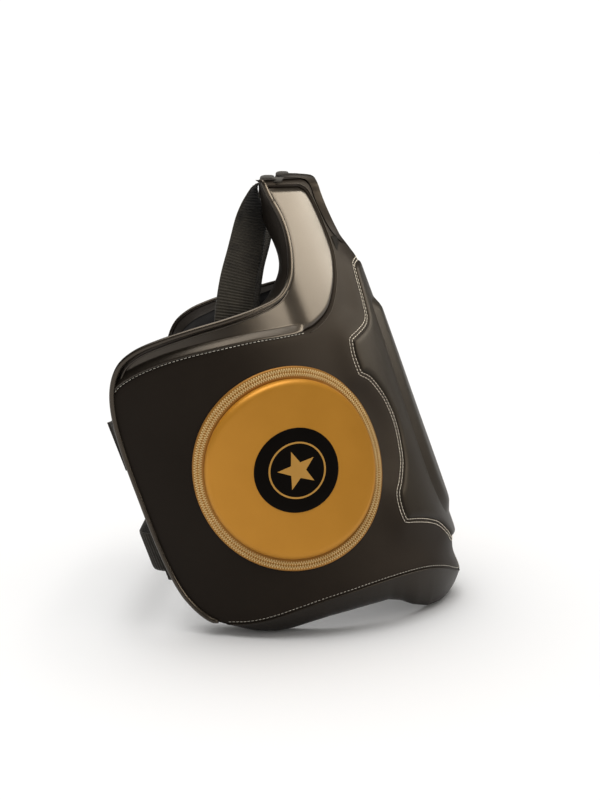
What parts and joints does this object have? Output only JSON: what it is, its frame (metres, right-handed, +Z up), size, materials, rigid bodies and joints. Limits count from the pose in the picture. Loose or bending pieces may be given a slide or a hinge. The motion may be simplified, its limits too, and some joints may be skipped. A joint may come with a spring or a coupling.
{
  "type": "body protector",
  "caption": "Padded coach's body protector with round side targets, scalloped front pads, shoulder straps and belts that close across the open back.",
  "frame": {"origin": "on the floor below the middle of the whole object, as it stands on its bottom rim", "axes": "+Z up, -Y towards the front of the wearer's chest, +X towards the wearer's left side"},
  "size_m": [0.4374, 0.4644, 0.5859],
  "materials": {
    "black_leather": "satin",
    "gloss_leather": "gloss",
    "lining_fabric": "matte",
    "foam": "matte",
    "gold_leather": "satin",
    "gold_ring": "satin",
    "webbing": "matte",
    "hook_loop": "matte",
    "label": "matte"
  },
  "bodies": {
    "vest": {"belly_pad_cover": "gloss_leather", "belly_pad_foam": "foam", "chest_label": "label", "chest_pad_cover": "gloss_leather", "chest_pad_foam": "foam", "front_cover": "black_leather", "front_foam": "foam", "front_gusset": "black_leather", "front_lining": "lining_fabric", "left_shoulder_cover": "gloss_leather", "left_shoulder_foam": "foam", "left_shoulder_lining": "lining_fabric", "left_shoulder_piping": "black_leather", "left_strap_anchor": "webbing", "left_strap_loop_patch": "hook_loop", "left_target_face": "gold_leather", "left_target_foam": "foam", "left_target_patch": "black_leather", "left_target_ring": "gold_ring", "left_wing_cover": "black_leather", "left_wing_foam": "foam", "left_wing_gusset": "black_leather", "left_wing_lining": "lining_fabric", "left_wing_piping": "black_leather", "lower_belt_loop_patch": "hook_loop", "lower_belt_tab": "webbing", "right_shoulder_cover": "gloss_leather", "right_shoulder_foam": "foam", "right_shoulder_lining": "lining_fabric", "right_shoulder_piping": "black_leather", "right_strap_anchor": "webbing", "right_strap_loop_patch": "hook_loop", "right_target_face": "gold_leather", "right_target_foam": "foam", "right_target_patch": "black_leather", "right_target_ring": "gold_ring", "right_wing_cover": "black_leather", "right_wing_foam": "foam", "right_wing_gusset": "black_leather", "right_wing_lining": "lining_fabric", "right_wing_piping": "black_leather", "upper_belt_loop_patch": "hook_loop", "upper_belt_tab": "webbing"},
    "upper_belt": {"upper_belt_webbing": "webbing", "upper_belt_hook_patch": "hook_loop"},
    "lower_belt": {"lower_belt_webbing": "webbing", "lower_belt_hook_patch": "hook_loop"},
    "right_strap": {"right_strap_webbing": "webbing", "right_strap_hook_patch": "hook_loop"},
    "left_strap": {"left_strap_webbing": "webbing", "left_strap_hook_patch": "hook_loop"}
  },
  "joints": [
    {"name": "upper_belt_open", "type": "hinge", "parent": "vest", "child": "upper_belt", "pos_m": [-0.17155, 0.20854, 0.245], "axis": [0, 0.342, 0.9397], "range_deg": [0, 88]},
    {"name": "lower_belt_open", "type": "hinge", "parent": "vest", "child": "lower_belt", "pos_m": [-0.17155, 0.15613, 0.101], "axis": [0, 0.342, 0.9397], "range_deg": [0, 88]},
    {"name": "right_strap_lift", "type": "hinge", "parent": "vest", "child": "right_strap", "pos_m": [-0.094, 0.03716, 0.573], "axis": [1, 0, 0], "range_deg": [0, 115]},
    {"name": "left_strap_lift", "type": "hinge", "parent": "vest", "child": "left_strap", "pos_m": [0.094, 0.03716, 0.573], "axis": [1, 0, 0], "range_deg": [0, 115]}
  ]
}
